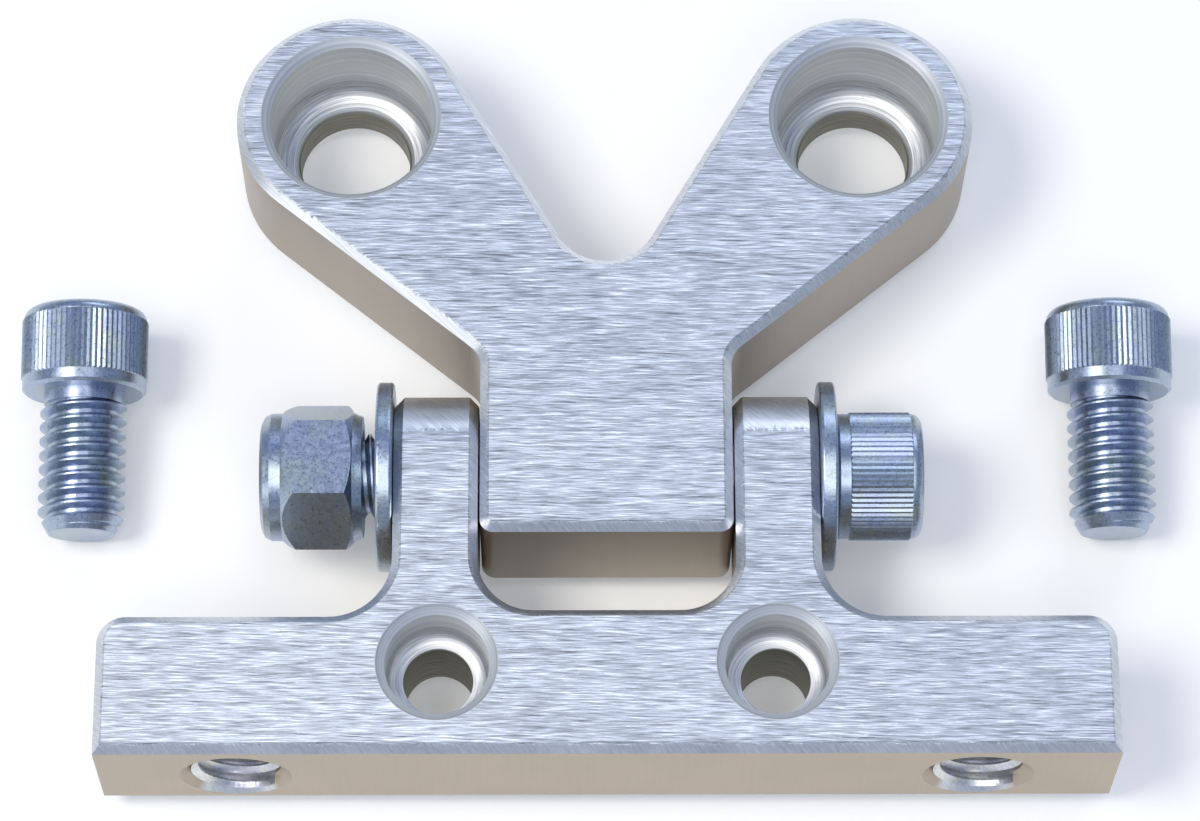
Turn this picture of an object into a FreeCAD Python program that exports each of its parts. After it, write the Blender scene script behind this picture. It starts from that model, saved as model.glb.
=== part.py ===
"""Billet aluminium pivot hinge bracket: a clevis base bar, a Y-shaped yoke, and their 3/8-16 hardware.

The back faces lie on z = 0 and the brushed faces on z = plate_thickness.
+X runs along the base bar, +Y from the bar towards the yoke's two eyes.
The origin is midway between the two counterbored holes of the bar, on its back face.
"""
import FreeCAD, Part
import math
import os

Vector = FreeCAD.Vector
INCH = 25.4

# Plate stock, common to both billet pieces
plate_thickness = 15.875
mid_plane = plate_thickness / 2
outline_chamfer = 1.0

# Clevis base bar
bar_length = 108.0
bar_bottom = -9.9
bar_top = 5.4
bar_top_corner_radius = 3.0
slot_floor = 6.1
slot_width = 27.6
ear_span = 45.8
slot_fillet = 6.0
shoulder_fillet = 6.8
pivot_y = 24.1
ear_end_offset = 0.8
pivot_bore = 9.7

# Holes of the base bar
base_hole_spacing = 36.0
base_hole = 7.5
base_counterbore = 11.1
base_rim = 13.0
base_floor_depth = 6.5
base_floor_fillet = 1.7
tapped_hole_spacing = 78.8
tapped_hole_height = 7.6
tapped_countersink = 11.9

# Y-shaped yoke
tongue_width = 27.2
tongue_end = 9.1
tongue_corner_radius = 1.5
eye_spacing = 56.2
eye_y = 63.9
eye_radius = 12.7
arm_inner_angle = 30.4
arm_outer_angle = 50.8
valley_y = 46.8
arm_root_fillet = 3.0
eye_hole = 12.4
eye_counterbore = 18.1
eye_rim = 19.9
eye_floor_depth = 11.2
eye_floor_fillet = 2.2
eye_hole_chamfer = 0.55

# 3/8-16 UNC hardware
thread_major = 3 / 8 * INCH
thread_pitch = INCH / 16
thread_depth = 0.86
thread_crest = thread_pitch / 8
thread_root = thread_pitch / 4
head_diameter = 13.95
head_height = 9.4
head_band = 1.3
head_cap = 1.35
head_edge_radius = 1.15
knurl_teeth = 72
knurl_depth = 0.16
key_width = 5 / 16 * INCH
key_depth = 4.9
point_length = 2.0
point_diameter = 7.2
pivot_screw_length = 62.2
pivot_screw_thread = 1.25 * INCH
shank_diameter = 9.46
mounting_screw_length = 5 / 8 * INCH
mounting_screw_thread = 14.6
neck_diameter = 8.7

washer_outer = 0.812 * INCH
washer_inner = 0.406 * INCH
washer_thickness = 1.8
washer_edge_radius = 0.35
washer_play = 0.1

nut_across_flats = 9 / 16 * INCH
nut_height = 11.0
nut_collar_height = 2.3
nut_base_height = 1.0
nut_base_radius = 6.6
nut_chamfer_slope = 0.62
nut_crown_slope = 1.2
nut_collar_diameter = 13.9
nut_turn = 3.5
nut_gap = 1.6
nut_bore = 9.65
nut_mouth = 10.3
insert_inner = 9.6
insert_outer = 12.1
insert_height = 2.0
insert_lip = 0.45

# Loose mounting screws lying beside the hinge on the surface that the washers touch
rest_level = mid_plane - washer_outer / 2
left_screw_x = -57.6
right_screw_x = 55.8
loose_screw_head_y = 35.4


def point(x, y, z=0.0):
    return Vector(x, y, z)


def closed_face(edges):
    """A face inside a closed chain of edges."""
    return Part.Face(Part.Wire(Part.__sortEdges__(edges)))


def lines_through(points):
    """The straight edges of a chain of points, without any of no length."""
    pairs = zip(points, points[1:])
    return [Part.LineSegment(a, b).toShape() for a, b in pairs if (a - b).Length > 1e-6]


def solid_of(shape):
    """The one solid that a boolean left, out of its compound."""
    return shape.removeSplitter().Solids[0]


def rounded_outline(corners):
    """A planar face from (x, y, radius) corners. A radius of 0 leaves the corner sharp."""
    count = len(corners)
    entries, exits, arcs = [], [], []
    for i, (x, y, radius) in enumerate(corners):
        here = point(x, y)
        before = point(*corners[i - 1][:2]) - here
        after = point(*corners[(i + 1) % count][:2]) - here
        before.normalize()
        after.normalize()
        if radius == 0:
            entries.append(here)
            exits.append(here)
            arcs.append(None)
            continue
        half = before.getAngle(after) / 2
        reach = radius / math.tan(half)
        middle = (before + after).normalize() * (radius / math.sin(half) - radius)
        entries.append(here + before * reach)
        exits.append(here + after * reach)
        arcs.append(Part.Arc(entries[-1], here + middle, exits[-1]).toShape())
    edges = [arc for arc in arcs if arc]
    for i in range(count):
        start = exits[i - 1]
        if (entries[i] - start).Length > 1e-6:
            edges.append(Part.LineSegment(start, entries[i]).toShape())
    return closed_face(edges)


def ring_of(profile, base, axis):
    """A solid of revolution. The profile is a list of (distance along axis, radius) corners."""
    points = [point(radius, 0, along) for along, radius in profile]
    face = Part.Face(Part.makePolygon(points + [points[0]]))
    solid = face.revolve(point(0, 0), point(0, 0, 1), 360)
    solid.Placement = FreeCAD.Placement(base, FreeCAD.Rotation(point(0, 0, 1), axis))
    return solid


def is_wall(face):
    """True for a side face of the plate: a plane or a round stretch that stands along Z."""
    along_z = abs(face.Surface.Axis.z)
    return along_z < 0.01 if isinstance(face.Surface, Part.Plane) else along_z > 0.99


def chamfer_outline(solid):
    """Chamfers every edge where a side face meets a front, back or rounded end face."""
    picked = []
    for edge in solid.Edges:
        faces = solid.ancestorsOfType(edge, Part.Face)
        if sum(is_wall(face) for face in faces) == 1:
            picked.append(edge)
    return solid.makeChamfer(outline_chamfer, picked)


def counterbore(x, y, hole, bore, rim, floor_depth, floor_fillet, mouth_chamfer):
    """The tool for a counterbored hole from the brushed face, with a hollow-cornered floor."""
    top = plate_thickness
    rim_depth = (rim - bore) / 2
    floor = top - floor_depth
    break_size = 0.4
    over = 1.0
    outline = [
        point(0, 0, -over),
        point(hole / 2 + break_size + over, 0, -over),
        point(hole / 2, 0, break_size),
        point(hole / 2, 0, floor - mouth_chamfer),
        point(hole / 2 + mouth_chamfer, 0, floor),
        point(bore / 2 - floor_fillet, 0, floor),
    ]
    edges = lines_through(outline)
    bend = floor_fillet * (1 - math.sqrt(0.5))
    end = point(bore / 2, 0, floor + floor_fillet)
    edges.append(Part.Arc(outline[-1], point(bore / 2 - bend, 0, floor + bend), end).toShape())
    rest = [
        end,
        point(bore / 2, 0, top - rim_depth),
        point(rim / 2 + over, 0, top + over),
        point(0, 0, top + over),
        outline[0],
    ]
    edges += lines_through(rest)
    tool = closed_face(edges).revolve(point(0, 0), point(0, 0, 1), 360)
    tool.translate(point(x, y))
    return tool


def pivot_hole(width):
    """The tool for the pivot bore through a given width, centred on the hinge."""
    return Part.makeCylinder(pivot_bore / 2, width, point(-width / 2, pivot_y, mid_plane), point(1, 0))


def clevis_base():
    """The bar with two ears, rounded at their ends about an axis along X."""
    half = bar_length / 2
    ear = ear_span / 2
    slot = slot_width / 2
    end_centre = pivot_y + ear_end_offset
    spare = 2.0
    ear_top = end_centre + mid_plane + spare
    right = [
        (half, bar_bottom, 0),
        (half, bar_top, bar_top_corner_radius),
        (ear, bar_top, shoulder_fillet),
        (ear, ear_top, 0),
        (slot, ear_top, 0),
        (slot, slot_floor, slot_fillet),
    ]
    left = [(-x, y, radius) for x, y, radius in reversed(right)]
    body = rounded_outline(right + left).extrude(point(0, 0, plate_thickness))
    over = 5.0
    block = Part.makeBox(ear_span + over, mid_plane + over, plate_thickness + 2 * over,
                         point(-(ear_span + over) / 2, end_centre, -over))
    round_end = Part.makeCylinder(mid_plane, ear_span + over,
                                  point(-(ear_span + over) / 2, end_centre, mid_plane), point(1, 0))
    body = body.cut(block.cut(round_end))
    body = chamfer_outline(body)
    body = body.cut(pivot_hole(ear_span + over))
    for side in (-1, 1):
        body = body.cut(counterbore(side * base_hole_spacing / 2, 0, base_hole, base_counterbore, base_rim,
                                    base_floor_depth, base_floor_fillet, 0))
        body = body.cut(tapped_hole(side * tapped_hole_spacing / 2))
    return body


def tapped_hole(x):
    """A hole from the bar's front edge to its back edge, open to the thread's major size."""
    radius = thread_major / 2
    sink = (tapped_countersink - thread_major) / 2
    depth = bar_top - bar_bottom
    over = 1.0
    profile = [
        (-over, 0),
        (-over, radius + sink + over),
        (sink, radius),
        (depth - sink, radius),
        (depth + over, radius + sink + over),
        (depth + over, 0),
    ]
    return ring_of(profile, point(x, bar_bottom, tapped_hole_height), point(0, 1))


def yoke_outline():
    """The Y outline: a tongue, two arms tangent to their eyes, and a round valley between them."""
    inner = math.radians(arm_inner_angle)
    outer = math.radians(arm_outer_angle)
    eye_x = eye_spacing / 2
    tongue = tongue_width / 2
    foot = pivot_y - tongue_end
    inner_tangent = point(eye_x - eye_radius * math.cos(inner), eye_y + eye_radius * math.sin(inner))
    outer_tangent = point(eye_x + eye_radius * math.cos(outer), eye_y - eye_radius * math.sin(outer))
    lean = (outer - inner) / 2
    eye_top = point(eye_x + eye_radius * math.sin(lean), eye_y + eye_radius * math.cos(lean))
    slant = inner_tangent.x * math.cos(inner) + (valley_y - inner_tangent.y) * math.sin(inner)
    valley_radius = slant / (1 - math.sin(inner))
    valley_centre = valley_y + valley_radius
    valley_tangent = point(valley_radius * math.cos(inner), valley_centre - valley_radius * math.sin(inner))
    shoulder_y = outer_tangent.y - (outer_tangent.x - tongue) / math.tan(outer)
    reach = arm_root_fillet * math.tan(outer / 2)
    fillet_side = point(tongue, shoulder_y - reach)
    fillet_arm = point(tongue + reach * math.sin(outer), shoulder_y + reach * math.cos(outer))
    fillet_centre = point(tongue + arm_root_fillet, shoulder_y - reach)
    fillet_middle = fillet_centre + point(-math.cos(outer / 2), math.sin(outer / 2)) * arm_root_fillet
    corner = tongue_corner_radius
    corner_start = point(tongue - corner, foot)
    corner_end = point(tongue, foot + corner)
    corner_middle = point(tongue - corner * (1 - math.sqrt(0.5)), foot + corner * (1 - math.sqrt(0.5)))
    half = [
        Part.Arc(corner_start, corner_middle, corner_end).toShape(),
        Part.LineSegment(corner_end, fillet_side).toShape(),
        Part.Arc(fillet_side, fillet_middle, fillet_arm).toShape(),
        Part.LineSegment(fillet_arm, outer_tangent).toShape(),
        Part.Arc(outer_tangent, eye_top, inner_tangent).toShape(),
        Part.LineSegment(inner_tangent, valley_tangent).toShape(),
    ]
    mirrored = [edge.mirror(point(0, 0), point(1, 0)) for edge in half]
    far_tangent = point(-valley_tangent.x, valley_tangent.y)
    valley = Part.Arc(valley_tangent, point(0, valley_y), far_tangent).toShape()
    sole = Part.LineSegment(point(-corner_start.x, foot), corner_start).toShape()
    return closed_face(half + mirrored + [valley, sole])


def yoke_arm():
    """The Y-shaped plate, chamfered on both faces, with its pivot bore and two counterbored eyes."""
    body = chamfer_outline(yoke_outline().extrude(point(0, 0, plate_thickness)))
    body = body.cut(pivot_hole(tongue_width + 5))
    for side in (-1, 1):
        body = body.cut(counterbore(side * eye_spacing / 2, eye_y, eye_hole, eye_counterbore, eye_rim,
                                    eye_floor_depth, eye_floor_fillet, eye_hole_chamfer))
    return body


def threaded_rod(bottom, top):
    """An external thread about Z: a core with a helical ridge, reaching past both of its ends."""
    crest_radius = thread_major / 2
    core_radius = crest_radius - thread_depth
    sunk = 0.1
    half_crest = thread_crest / 2
    half_base = (thread_pitch - thread_root) / 2
    half_sunk = half_base + sunk * (half_base - half_crest) / thread_depth
    helix = Part.makeHelix(thread_pitch, top - bottom + 2 * thread_pitch, crest_radius)
    section = Part.makePolygon([
        point(crest_radius, 0, -half_crest),
        point(crest_radius, 0, half_crest),
        point(core_radius - sunk, 0, half_sunk),
        point(core_radius - sunk, 0, -half_sunk),
        point(crest_radius, 0, -half_crest),
    ])
    ridge = Part.Wire(helix.Edges).makePipeShell([section], True, True)
    ridge.translate(point(0, 0, bottom - thread_pitch))
    over = thread_pitch * 2
    core = Part.makeCylinder(core_radius, top - bottom + 2 * over, point(0, 0, bottom - over))
    return core.fuse(ridge)


def screw(length, thread_length, throat_diameter):
    """A socket head cap screw on Z, point down: the head's underside is at z = 0 and the head is above.

    The throat is the plain shank or the short neck between the head and the thread.
    """
    thread_end = thread_length - length
    crest_radius = thread_major / 2
    tip = point_diameter / 2
    clear = 0.5
    point_slope = point_length / (crest_radius - tip)
    envelope = ring_of([
        (thread_end, 0),
        (thread_end, crest_radius + clear),
        (point_length - length + clear * point_slope, crest_radius + clear),
        (-length, tip),
        (-length, 0),
    ], point(0, 0), point(0, 0, 1))
    thread = threaded_rod(-length, thread_end).common(envelope)
    shank = Part.makeCylinder(throat_diameter / 2, clear - thread_end, point(0, 0, thread_end))
    shank = solid_of(shank.fuse(thread.Solids[0]))
    head_radius = head_diameter / 2
    smooth = head_radius - knurl_depth
    cap_radius = head_radius - 1.1 * knurl_depth
    corners = []
    for i in range(knurl_teeth):
        turn = 2 * math.pi * i / knurl_teeth
        half_step = math.pi / knurl_teeth
        corners.append(point(head_radius * math.cos(turn), head_radius * math.sin(turn)))
        corners.append(point(smooth * math.cos(turn + half_step), smooth * math.sin(turn + half_step)))
    knurl = Part.Face(Part.makePolygon(corners + [corners[0]])).extrude(point(0, 0, head_height))
    crown = ring_of([
        (head_band, 0),
        (head_band, head_radius - 2 * knurl_depth),
        (head_band + 2 * knurl_depth, head_radius),
        (head_height - head_cap, head_radius),
        (head_height - head_cap + knurl_depth, cap_radius),
        (head_height, cap_radius),
        (head_height, 0),
    ], point(0, 0), point(0, 0, 1))
    rims = [edge for edge in crown.Edges if edge.Closed and edge.BoundBox.ZMin > head_height - head_edge_radius]
    crown = crown.makeFillet(head_edge_radius, rims)
    under_chamfer = 0.35
    band = ring_of([
        (0, 0),
        (0, smooth - under_chamfer),
        (under_chamfer, smooth),
        (head_band + knurl_depth, smooth),
        (head_band + knurl_depth, 0),
    ], point(0, 0), point(0, 0, 1))
    head = knurl.common(crown).fuse(band)
    socket = hexagon(key_width, key_depth, head_height - key_depth)
    lead = 0.4
    mouth = Part.makeCone(key_width / 2, key_width / 2 + 2 * lead, 2 * lead,
                          point(0, 0, head_height - lead), point(0, 0, 1))
    drill_depth = 1.2
    drill = Part.makeCone(key_width / 2 * 0.9, 0.2, drill_depth,
                          point(0, 0, head_height - key_depth), point(0, 0, -1))
    head = head.cut(socket).cut(mouth).cut(drill)
    return solid_of(shank.fuse(head))


def hexagon(across_flats, height, bottom):
    """A hexagonal prism on Z with two corners on the Y axis."""
    radius = across_flats / math.sqrt(3)
    turns = [i * math.pi / 3 for i in range(6)]
    corners = [point(radius * math.sin(turn), radius * math.cos(turn), bottom) for turn in turns]
    return Part.Face(Part.makePolygon(corners + [corners[0]])).extrude(point(0, 0, height))


def laid_along_x(solid, x, flip):
    """Puts a solid made on Z on the hinge axis, with its +Z towards +X, or -X if flip is true."""
    towards = point(-1 if flip else 1, 0)
    solid.Placement = FreeCAD.Placement(point(x, pivot_y, mid_plane), FreeCAD.Rotation(point(0, 0, 1), towards))
    return solid


def washer():
    """A flat washer on Z from z = 0, its outer edge rounded on one side as stamping leaves it."""
    solid = Part.makeCylinder(washer_outer / 2, washer_thickness)
    rims = [edge for edge in solid.Edges if edge.Closed and len(edge.Vertexes) == 1]
    solid = solid.makeFillet(washer_edge_radius, rims)
    return solid.cut(Part.makeCylinder(washer_inner / 2, washer_thickness))


def lock_nut():
    """The nut body on Z from its bearing face: a chamfered hexagon with a collar round the insert."""
    hex_height = nut_height - nut_collar_height
    corner = nut_across_flats / math.sqrt(3)
    bevel = nut_across_flats / 2 - 0.12
    drop = (corner - bevel) * nut_chamfer_slope
    crown_drop = (corner - bevel) * nut_crown_slope
    collar = nut_collar_diameter / 2
    shell = ring_of([
        (0, 0),
        (0, nut_base_radius),
        (nut_base_height, bevel),
        (nut_base_height + drop, corner),
        (hex_height - crown_drop, corner),
        (hex_height, bevel),
        (hex_height, 0),
    ], point(0, 0), point(0, 0, 1))
    body = hexagon(nut_across_flats, hex_height, 0)
    body.rotate(point(0, 0), point(0, 0, 1), -nut_turn)
    body = body.common(shell)
    crimp = 1.1
    top = ring_of([
        (hex_height - 0.2, 0),
        (hex_height - 0.2, collar),
        (nut_height - crimp, collar),
        (nut_height - crimp / 3, collar - crimp / 3),
        (nut_height, collar - crimp),
        (nut_height, 0),
    ], point(0, 0), point(0, 0, 1))
    body = body.fuse(top)
    seat = nut_height - insert_lip - insert_height
    mouth = (nut_mouth - nut_bore) / 2
    opening = ring_of([
        (-1, 0),
        (-1, nut_mouth / 2 + 1),
        (mouth, nut_bore / 2),
        (seat, nut_bore / 2),
        (seat, insert_outer / 2),
        (seat + insert_height, insert_outer / 2),
        (seat + insert_height, insert_outer / 2 - 0.7),
        (nut_height + 1, insert_outer / 2 - 0.7),
        (nut_height + 1, 0),
    ], point(0, 0), point(0, 0, 1))
    return solid_of(body.cut(opening))


def lock_nut_insert():
    """The nylon ring trapped under the nut's collar."""
    seat = nut_height - insert_lip - insert_height
    clear = 0.03
    solid = ring_of([
        (seat + clear, insert_inner / 2 + 0.2),
        (seat + clear, insert_outer / 2 - clear),
        (seat + insert_height - clear, insert_outer / 2 - clear),
        (seat + insert_height - clear, insert_inner / 2 + 0.25),
        (seat + insert_height - 0.3, insert_inner / 2),
        (seat + 0.3, insert_inner / 2),
    ], point(0, 0), point(0, 0, 1))
    return solid


def mounting_screw(x):
    """A short screw lying on its head's rim and its thread, with its point towards the bar."""
    solid = screw(mounting_screw_length, mounting_screw_thread, neck_diameter)
    reach = mounting_screw_length - point_length
    tilt = math.atan((head_diameter - thread_major) / 2 / reach)
    turn = FreeCAD.Rotation(point(1, 0), math.degrees(tilt) - 90)
    solid.Placement = FreeCAD.Placement(point(0, 0), turn)
    low = solid.optimalBoundingBox(False).ZMin
    solid.Placement = FreeCAD.Placement(point(x, loose_screw_head_y, rest_level - low), turn)
    return solid


def build():
    """Every node by name."""
    ear = ear_span / 2
    head_seat = ear + washer_thickness + 2 * washer_play
    nut_seat = ear + washer_play + washer_thickness + nut_gap
    long_screw = screw(pivot_screw_length, pivot_screw_thread, shank_diameter)
    return {
        "clevis_base": clevis_base(),
        "yoke_arm": yoke_arm(),
        "pivot_screw": laid_along_x(long_screw, head_seat, False),
        "head_washer": laid_along_x(washer(), ear + washer_play, False),
        "nut_washer": laid_along_x(washer(), -ear - washer_play, True),
        "lock_nut": laid_along_x(lock_nut(), -nut_seat, True),
        "lock_nut_insert": laid_along_x(lock_nut_insert(), -nut_seat, True),
        "mounting_screw_left": mounting_screw(left_screw_x),
        "mounting_screw_right": mounting_screw(right_screw_x),
    }


os.makedirs("parts", exist_ok=True)
for name, shape in build().items():
    print(f"{name}: valid {shape.isValid()}, solids {len(shape.Solids)}, volume {shape.Volume:.1f}")
    shape.exportStep(f"parts/{name}.step")
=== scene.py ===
"""Looks for the billet pivot hinge bracket: materials, internal threads, floor, light and camera."""
import math

import bpy
from mathutils import Matrix, Vector


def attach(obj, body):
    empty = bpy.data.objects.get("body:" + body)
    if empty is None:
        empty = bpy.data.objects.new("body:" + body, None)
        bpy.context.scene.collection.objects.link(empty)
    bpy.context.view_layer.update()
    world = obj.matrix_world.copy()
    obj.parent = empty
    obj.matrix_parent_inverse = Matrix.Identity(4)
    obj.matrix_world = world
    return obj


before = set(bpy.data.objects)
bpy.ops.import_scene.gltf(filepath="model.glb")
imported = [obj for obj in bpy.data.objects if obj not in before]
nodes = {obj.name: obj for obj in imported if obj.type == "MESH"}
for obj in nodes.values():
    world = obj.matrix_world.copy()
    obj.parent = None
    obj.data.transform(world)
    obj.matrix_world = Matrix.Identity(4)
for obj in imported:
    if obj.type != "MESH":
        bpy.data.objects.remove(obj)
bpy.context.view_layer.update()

MM = 0.001

# Sizes of the CAD part that the materials and threads follow, in millimetres
PLATE = 15.875
PIVOT_Y = 24.1
EYE = (28.1, 63.9)
EYE_RIM = 19.9
EYE_HOLE = 12.4
EYE_DEPTH = 11.2
BASE_HOLE = (18.0, 0.0)
BASE_RIM = 13.0
BASE_THROUGH = 7.5
BASE_DEPTH = 6.5
BAR_FRONT = -9.9
BAR_BACK = 5.4
TAPPED_X = 39.4
TAPPED_Z = 7.6
THREAD_RADIUS = 4.7625
THREAD_PITCH = 25.4 / 16
COUNTERSINK = 11.9
TAPPED_CREST = 4.05
NUT_BORE = 9.65
NUT_CREST = 4.15
NUT_THREAD = (-34.7, -27.0)
GROOVE_START = -38.09375
WALL_OVERLAP = 0.02
WASHER_DIAMETER = 0.812 * 25.4


class Socket:
    """One output of a shader graph, with arithmetic."""

    def __init__(self, graph, output):
        self.graph = graph
        self.output = output

    def math(self, operation, *others):
        return self.graph.math(operation, self, *others)

    def __add__(self, other):
        return self.math("ADD", other)

    def __sub__(self, other):
        return self.math("SUBTRACT", other)

    def __mul__(self, other):
        return self.math("MULTIPLY", other)

    def __truediv__(self, other):
        return self.math("DIVIDE", other)

    __radd__ = __add__
    __rmul__ = __mul__

    def __rsub__(self, other):
        return self.graph.math("SUBTRACT", other, self)

    def __abs__(self):
        return self.math("ABSOLUTE")

    def step(self, low, high):
        """0 below low and 1 above high, with a smooth change between them. low may be above high."""
        return self.graph.range(self, low, high)


class Graph:
    """A material's node tree, built from expressions. Lengths in it are in millimetres of the row frame."""

    def __init__(self, name):
        self.material = bpy.data.materials.new(name)
        self.material.use_nodes = True
        self.tree = self.material.node_tree
        self.tree.nodes.clear()
        coordinates = self.add("ShaderNodeTexCoord")
        self.normal = Socket(self, coordinates.outputs["Normal"])
        to_mm = (1 / MM, 1 / MM, 1 / MM)
        place = self.add("ShaderNodeVectorMath", {0: coordinates.outputs["Object"], 1: to_mm},
                         operation="MULTIPLY")
        self.place = Socket(self, place.outputs[0])
        self.x, self.y, self.z = self.split(self.place)
        self.nx, self.ny, self.nz = self.split(self.normal)
        self.wander = self.noise(self.place, scale=0.2, detail=1.0)

    def add(self, kind, inputs=None, **settings):
        node = self.tree.nodes.new(kind)
        for key, value in settings.items():
            setattr(node, key, value)
        for key, value in (inputs or {}).items():
            self.feed(node.inputs[key], value)
        return node

    def feed(self, entry, value):
        if isinstance(value, Socket):
            value = value.output
        if isinstance(value, bpy.types.NodeSocket):
            self.tree.links.new(value, entry)
        elif entry.type == "RGBA":
            entry.default_value = (*value, 1.0)
        else:
            entry.default_value = value

    def math(self, operation, *values):
        node = self.add("ShaderNodeMath", dict(enumerate(values)), operation=operation)
        return Socket(self, node.outputs[0])

    def range(self, value, low, high):
        node = self.add("ShaderNodeMapRange", {"Value": value, "From Min": low, "From Max": high},
                        interpolation_type="SMOOTHSTEP")
        return Socket(self, node.outputs["Result"])

    def split(self, vector):
        node = self.add("ShaderNodeSeparateXYZ", {0: vector})
        return [Socket(self, node.outputs[i]) for i in range(3)]

    def join(self, x, y, z=0.0):
        node = self.add("ShaderNodeCombineXYZ", {0: x, 1: y, 2: z})
        return Socket(self, node.outputs[0])

    def noise(self, vector, scale=1.0, detail=2.0, roughness=0.5):
        """Noise about 0.5 at a vector."""
        node = self.add("ShaderNodeTexNoise", {"Vector": vector, "Scale": scale, "Detail": detail,
                                               "Roughness": roughness})
        return Socket(self, node.outputs["Fac"])

    def mix(self, share, first, second):
        node = self.add("ShaderNodeMix", data_type="RGBA")
        for entry, value in ((0, share), (6, first), (7, second)):
            self.feed(node.inputs[entry], value)
        return Socket(self, node.outputs[2])

    def blend(self, share, first, second):
        node = self.add("ShaderNodeMix", {0: share, 2: first, 3: second}, data_type="FLOAT")
        return Socket(self, node.outputs[0])

    def shade(self, colour, factor):
        """A colour made lighter or darker by a number."""
        node = self.add("ShaderNodeVectorMath", {0: colour, 1: self.join(factor, factor, factor)},
                        operation="MULTIPLY")
        return Socket(self, node.outputs[0])

    def streaks(self, angle, length, width, seed, detail=2.0):
        """Noise drawn out into lines at an angle in degrees to X, in the XY plane."""
        turn = math.radians(angle)
        along = self.x * math.cos(turn) + self.y * math.sin(turn)
        across = self.y * math.cos(turn) - self.x * math.sin(turn)
        across = across + self.wander * 0.3
        return self.noise(self.join(along / length + seed, across / width, self.z * 0.1 + seed),
                          detail=detail)

    def finish(self, colour, roughness, height, bump, metallic=1.0):
        """Closes the graph with a Principled shader. Height times bump is in millimetres."""
        relief = self.add("ShaderNodeBump", {"Strength": 1.0, "Distance": bump * MM, "Height": height})
        shader = self.add("ShaderNodeBsdfPrincipled", {"Base Color": colour, "Roughness": roughness,
                                                       "Metallic": metallic, "Normal": relief.outputs[0]})
        self.add("ShaderNodeOutputMaterial", {"Surface": shader.outputs[0]})
        return self.material


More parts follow.
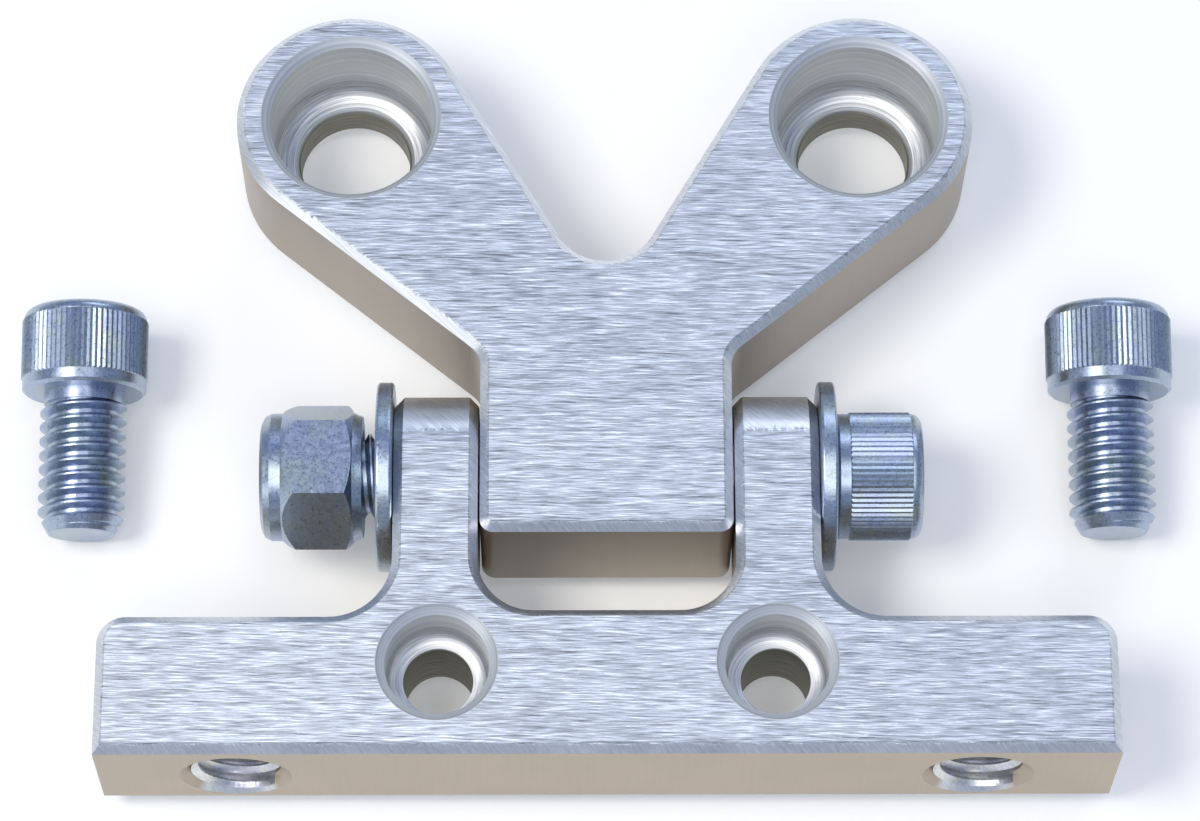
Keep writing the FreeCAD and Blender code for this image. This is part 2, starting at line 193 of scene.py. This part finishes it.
def billet(name, hole_x, hole_y, through, rim, floor_depth, hole_tint, edge_tint):
    """Billet aluminium: brushed front and back with painted glints, smooth chamfers, satin edges and two
    turned counterbores whose drilled walls carry painted shade.

    The counterbores are at plus and minus hole_x. hole_tint is the colour of their wall and edge_tint that
    of the satin edge faces.
    """
    g = Graph(name)
    up = g.nz.step(0.96, 0.99)
    ragged = g.noise(g.join(g.x * 2.6, g.y * 0.6, g.z), detail=3.0)
    near_top = (g.z + (ragged - 0.5) * 0.16).step(PLATE - 0.16, PLATE - 0.07)
    down = (g.nz * -1.0).step(0.96, 0.99)
    near_back = g.z.step(0.1, 0.02)
    brushed = g.math("MAXIMUM", up * near_top, down * near_back)

    fine = g.streaks(-1.0, 2.6, 0.11, 3.1, detail=3.0)
    medium = g.streaks(-2.2, 8.0, 0.22, 63.1, detail=2.0)
    broad = g.streaks(-1.0, 25.0, 0.9, 11.7, detail=2.0)
    slant = g.streaks(4.5, 5.5, 0.16, 23.9, detail=1.0)
    steep = g.streaks(-7.0, 5.0, 0.18, 37.3, detail=1.0)
    # Painted glints: the sparkle and the bright lines are lighter streaks in the brushed face's colour that
    # stand in for light caught by the brushing. The streak, dark lines and patch are the brushing's own
    # tone.
    sparkle = g.streaks(1.5, 0.9, 0.13, 83.7, detail=1.0).step(0.66, 0.74)
    patch = g.noise(g.place, scale=0.07, detail=2.0)
    painted_glint_lines = slant.step(0.64, 0.72) + steep.step(0.67, 0.75) + fine.step(0.62, 0.70) + sparkle
    dark_lines = medium.step(0.40, 0.30) + g.streaks(-3.0, 7.0, 0.22, 51.3, detail=1.0).step(0.36, 0.27)
    streak = (fine - 0.5) * 1.9 + (medium - 0.5) * 0.45 + (broad - 0.5) * 0.3
    brush_and_glint_tone = 0.99 + streak * 1.3 + painted_glint_lines * 0.30 - dark_lines * 0.11 + (patch - 0.5) * 0.16

    grain = g.noise(g.place, scale=5.0, detail=4.0, roughness=0.65)
    cloud = g.noise(g.place, scale=0.12, detail=3.0)
    mill = g.noise(g.join((g.x + g.y) * 2.6, g.z * 0.08, 7.7), detail=2.0)
    wall_tone = 1.0 + (grain - 0.5) * 0.14 + (cloud - 0.5) * 0.12 + (mill - 0.5) * 0.07

    dx = abs(g.x) - hole_x
    dy = g.y - hole_y
    radius = g.math("SQRT", dx * dx + dy * dy)
    turned = radius.step(rim + 0.1, rim - 0.02)
    floor_level = PLATE - floor_depth
    rings = g.noise(g.join(radius * 5.0, g.z * 5.0, 1.3), detail=2.0)
    wide_rings = g.noise(g.join(radius * 1.3, g.z * 1.3, 5.3), detail=2.0)
    arcs = g.noise(g.join(radius * 7.0 + dx * 0.25, g.z * 7.0 + dy * 0.25, 9.1), detail=2.0)
    # Painted shade mask: the drilled wall below the counterbore floor, which is painted near black.
    deep_bore_shade_mask = g.z.step(floor_level - 0.15, floor_level - 0.5) * radius.step(through + 0.6, through + 0.2)
    hollow = g.z.step(floor_level + 3.4, floor_level + 0.8)
    mouth = g.z.step(PLATE - 1.1, PLATE - 0.9)
    ring_tone = 1.0 + (rings - 0.5) * 0.6 + (wide_rings - 0.5) * 0.4 + (arcs - 0.5) * hollow * 1.6

    face = g.shade((0.585, 0.62, 0.672), brush_and_glint_tone)
    wall = g.shade(edge_tint, wall_tone)
    chamfer_zone = abs(g.nz).step(0.45, 0.6) * (1.0 - brushed)
    burr_noise = g.noise(g.join((g.x + g.y) * 3.2, g.z * 1.1, 2.2), detail=3.0, roughness=0.7)
    burr = g.z.step(PLATE - 0.5, PLATE - 0.05) * burr_noise.step(0.5, 0.68)
    chamfer = g.shade((0.72, 0.74, 0.77), 1.0 + (burr_noise - 0.5) * 0.7 + burr * 0.35 + (cloud - 0.5) * 0.2)
    colour = g.mix(chamfer_zone, wall, chamfer)
    hole_colour = g.mix(hollow, hole_tint, (0.66, 0.67, 0.67))
    hole_colour = g.mix(mouth, hole_colour, (0.74, 0.76, 0.78))
    # Painted shade: the drilled through-hole wall is painted near black for the shade deep in the bore.
    hole_colour = g.mix(deep_bore_shade_mask, hole_colour, (0.235, 0.225, 0.185))
    colour = g.mix(turned, colour, g.shade(hole_colour, ring_tone))
    bleed = chamfer_zone * (g.z + (ragged - 0.5) * 0.9).step(PLATE - 0.24, PLATE - 0.10) * up.step(1.0, 0.9)
    face_mask = g.math("MAXIMUM", brushed, bleed) * (1.0 - turned)
    colour = g.mix(face_mask, colour, face)

    roughness = g.blend(chamfer_zone, 0.45 + (grain - 0.5) * 0.2, 0.36 + (cloud - 0.5) * 0.15)
    roughness = g.blend(turned, roughness, 0.50 + (wide_rings - 0.5) * 0.16)
    roughness = g.blend(face_mask, roughness, 0.5 + (fine - 0.5) * 0.3 + (patch - 0.5) * 0.1)
    rough_height = grain * 0.9 + mill * 0.4 + burr_noise * chamfer_zone * 1.5
    height = g.blend(face_mask, g.blend(turned, rough_height, rings * 0.8 + arcs * hollow),
                     streak * 1.3 + painted_glint_lines * 0.5 - dark_lines * 0.5)
    return g.finish(colour, roughness, height, 0.008)


def plated_steel(name, tint, shine=0.32):
    """Bright zinc plate on steel: a violet and buff bloom, fine pits and duller wear."""
    g = Graph(name)
    bloom = g.noise(g.place, scale=0.22, detail=3.0, roughness=0.6)
    second = g.noise(g.join(g.x + 31.0, g.y, g.z), scale=0.3, detail=2.0)
    speck = g.noise(g.place, scale=3.6, detail=4.0, roughness=0.75)
    wear = g.noise(g.place, scale=1.8, detail=5.0, roughness=0.7)
    violet = (tint[0] * 0.98, tint[1] * 0.96, tint[2] * 1.08)
    buff = (tint[0] * 1.12, tint[1] * 1.08, tint[2] * 0.90)
    colour = g.mix(bloom.step(0.42, 0.62), tint, violet)
    colour = g.mix(second.step(0.54, 0.72) * 0.7, colour, buff)
    colour = g.shade(colour, 1.0 + (speck - 0.5) * 0.8 + (wear - 0.5) * 0.5)
    roughness = shine + (wear - 0.5) * 0.26 + (speck - 0.5) * 0.2
    return g.finish(colour, roughness, speck + wear * 1.5, 0.007)


def nylon(name):
    """Natural nylon with a faint mottle."""
    g = Graph(name)
    mottle = g.noise(g.place, scale=1.3, detail=4.0)
    colour = g.shade((0.78, 0.78, 0.73), 1.0 + (mottle - 0.5) * 0.2)
    return g.finish(colour, 0.5 + (mottle - 0.5) * 0.2, mottle, 0.03, metallic=0.0)


def dress(node, material):
    slots = nodes[node].data.materials
    if not len(slots):
        slots.append(material)
    for i in range(len(slots)):
        slots[i] = material


def internal_thread(name, body, slot, material, root, crest, start, end, phase, place):
    """A helical ridge on the wall of a bore, made along Z and then placed.

    root is the bore's radius and crest is inside it. The ridge fades out over part of a turn at each end.
    """
    steps = 64
    turns_in = 0.35
    root_half = THREAD_PITCH * 0.43
    crest_half = THREAD_PITCH * 0.07
    count = int((end - start) / THREAD_PITCH * steps)
    vertices, faces = [], []
    for i in range(count + 1):
        share = i / steps
        z = start + share * THREAD_PITCH
        angle = 2 * math.pi * share + phase
        run_in = min(1.0, i / (steps * turns_in), (count - i) / (steps * turns_in))
        inner = root - (root - crest) * run_in
        profile = ((root, -root_half), (inner, -crest_half), (inner, crest_half), (root, root_half))
        for radius, rise in profile:
            vertices.append(Vector((radius * math.cos(angle), radius * math.sin(angle), z + rise)) * MM)
    for i in range(count):
        a = 4 * i
        for k in range(4):
            n = (k + 1) % 4
            faces.append((a + k, a + 4 + k, a + 4 + n, a + n))
    faces.append((0, 1, 2, 3))
    last = 4 * count
    faces.append((last + 3, last + 2, last + 1, last))
    mesh = bpy.data.meshes.new(name)
    mesh.from_pydata(vertices, [], faces)
    mesh.transform(place)
    mesh.validate()
    mesh.update()
    piece = bpy.data.objects.new(name, mesh)
    bpy.context.scene.collection.objects.link(piece)
    mesh.materials.append(material)
    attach(piece, body)


# The yoke's copy of the billet aluminium has darker edge and bore tints than the bar's: painted shade for
# the shadow on the yoke's sides and in its deeper eye bores.
base_metal = billet("brushed_bar", *BASE_HOLE, BASE_THROUGH / 2, BASE_RIM / 2, BASE_DEPTH,
                    (0.92, 0.94, 0.95), (0.46, 0.395, 0.315))
shaded_yoke_metal = billet("brushed_yoke_painted_shade", *EYE, EYE_HOLE / 2, EYE_RIM / 2, EYE_DEPTH,
                    (0.72, 0.745, 0.75), (0.40, 0.355, 0.30))
steel = plated_steel("zinc_plate", (0.385, 0.455, 0.53))
dress("clevis_base", base_metal)
dress("yoke_arm", shaded_yoke_metal)
for node in ("pivot_screw", "head_washer", "nut_washer", "lock_nut", "mounting_screw_left",
             "mounting_screw_right"):
    dress(node, steel)
dress("lock_nut_insert", nylon("natural_nylon"))

thread_metal = plated_steel("cut_thread", (0.72, 0.73, 0.70), shine=0.35)
sink = (COUNTERSINK / 2 - THREAD_RADIUS) * 0.6
tapped_start = BAR_FRONT + sink
tapped_end = BAR_BACK - sink
for side, word in ((-1, "left"), (1, "right")):
    hole = Vector((side * TAPPED_X, 0, TAPPED_Z)) * MM
    along_y = Matrix.Translation(hole) @ Matrix.Rotation(-math.pi / 2, 4, "X")
    internal_thread(f"tapped_thread_{word}", "base", "billet_aluminium", thread_metal,
                    THREAD_RADIUS + WALL_OVERLAP, TAPPED_CREST, tapped_start, tapped_end, 0.6, along_y)
pivot = Vector((0, PIVOT_Y, PLATE / 2)) * MM
along_x = Matrix.Translation(pivot) @ Matrix.Rotation(math.pi / 2, 4, "Y")
groove = 2 * math.pi * (NUT_THREAD[0] - GROOVE_START) / THREAD_PITCH
internal_thread("lock_nut_thread", "lock_nut", "zinc_steel", steel, NUT_BORE / 2 + WALL_OVERLAP, NUT_CREST,
                *NUT_THREAD, groove, along_x)

# Floor, light and camera
FLOOR = (PLATE - WASHER_DIAMETER) / 2 * MM
floor_mesh = bpy.data.meshes.new("floor")
REACH = 3.0
corners = [(-REACH, -REACH, FLOOR), (REACH, -REACH, FLOOR), (REACH, REACH, FLOOR), (-REACH, REACH, FLOOR)]
floor_mesh.from_pydata(corners, [], [(0, 1, 2, 3)])
floor = bpy.data.objects.new("floor", floor_mesh)
bpy.context.scene.collection.objects.link(floor)
paper = bpy.data.materials.new("pale_floor")
paper.use_nodes = True
paper_look = {"Base Color": (0.82, 0.82, 0.81, 1.0), "Roughness": 0.9, "Specular IOR Level": 0.1,
              "Emission Color": (1.0, 1.0, 0.98, 1.0), "Emission Strength": 0.17}
for key, value in paper_look.items():
    paper.node_tree.nodes["Principled BSDF"].inputs[key].default_value = value
floor_mesh.materials.append(paper)


def soft_light(name, azimuth, elevation, distance, width, height, power, colour):
    """A rectangular light facing the middle of the part. Azimuth 0 is on the -Y side, 90 on the +X side."""
    a = math.radians(azimuth)
    e = math.radians(elevation)
    aim = Vector((0, 0.033, 0.008))
    away = Vector((math.sin(a) * math.cos(e), -math.cos(a) * math.cos(e), math.sin(e)))
    data = bpy.data.lights.new(name, "AREA")
    data.shape = "RECTANGLE"
    data.size = width
    data.size_y = height
    data.energy = power
    data.color = colour
    light = bpy.data.objects.new(name, data)
    bpy.context.scene.collection.objects.link(light)
    light.location = aim + away * distance
    light.rotation_mode = "QUATERNION"
    light.rotation_quaternion = away.to_track_quat("Z", "Y")


soft_light("key", -74, 60, 0.9, 0.36, 0.32, 4.5, (1.0, 0.95, 0.86))
soft_light("camera_side", 2, 58, 0.9, 0.44, 0.24, 1.2, (1.0, 0.96, 0.88))
soft_light("overhead", 40, 81, 0.9, 0.50, 0.16, 0.9, (1.0, 0.98, 0.94))
soft_light("window", -60, 17, 0.9, 0.34, 0.20, 0.55, (1.0, 0.98, 0.95))
soft_light("far_low", 160, 38, 0.9, 0.55, 0.20, 1.2, (0.86, 0.93, 1.0))

world = bpy.data.worlds.new("studio")
bpy.context.scene.world = world
world.use_nodes = True
sky = world.node_tree
direction = sky.nodes.new("ShaderNodeTexCoord")
parts = sky.nodes.new("ShaderNodeSeparateXYZ")
sky.links.new(direction.outputs["Generated"], parts.inputs[0])
rise = sky.nodes.new("ShaderNodeMapRange")
rise.inputs["From Min"].default_value = 0.0
rise.inputs["From Max"].default_value = 0.6
sky.links.new(parts.outputs["Z"], rise.inputs["Value"])
tone = sky.nodes.new("ShaderNodeMix")
tone.data_type = "RGBA"
tone.inputs[6].default_value = (0.42, 0.46, 0.48, 1.0)
tone.inputs[7].default_value = (0.26, 0.33, 0.52, 1.0)
sky.links.new(rise.outputs[0], tone.inputs[0])
sky.links.new(tone.outputs[2], sky.nodes["Background"].inputs["Color"])
sky.nodes["Background"].inputs["Strength"].default_value = 1.0

VIEW_ELEVATION = math.radians(67.287)
VIEW_YAW = math.radians(-0.976)
VIEW_ROLL = math.radians(0.815)
VIEW_DISTANCE = 0.50098
VIEW_TARGET = Vector((-0.613, 31.945, 7.9375)) * MM
camera_data = bpy.data.cameras.new("camera")
camera_data.sensor_width = 36.0
camera_data.lens = 137.108
camera = bpy.data.objects.new("camera", camera_data)
bpy.context.scene.collection.objects.link(camera)
back = Vector((math.sin(VIEW_YAW) * math.cos(VIEW_ELEVATION),
               -math.cos(VIEW_YAW) * math.cos(VIEW_ELEVATION), math.sin(VIEW_ELEVATION)))
right = Vector((math.cos(VIEW_YAW), math.sin(VIEW_YAW), 0))
up = back.cross(right)
rolled_right = right * math.cos(VIEW_ROLL) + up * math.sin(VIEW_ROLL)
rolled_up = up * math.cos(VIEW_ROLL) - right * math.sin(VIEW_ROLL)
camera.matrix_world = Matrix.Translation(VIEW_TARGET + back * VIEW_DISTANCE) @ Matrix(
    (rolled_right, rolled_up, back)).transposed().to_4x4()
camera_data.clip_start = 0.01
camera_data.clip_end = 20.0
bpy.context.scene.camera = camera
bpy.context.scene.view_settings.view_transform = "Standard"

bpy.context.view_layer.update()
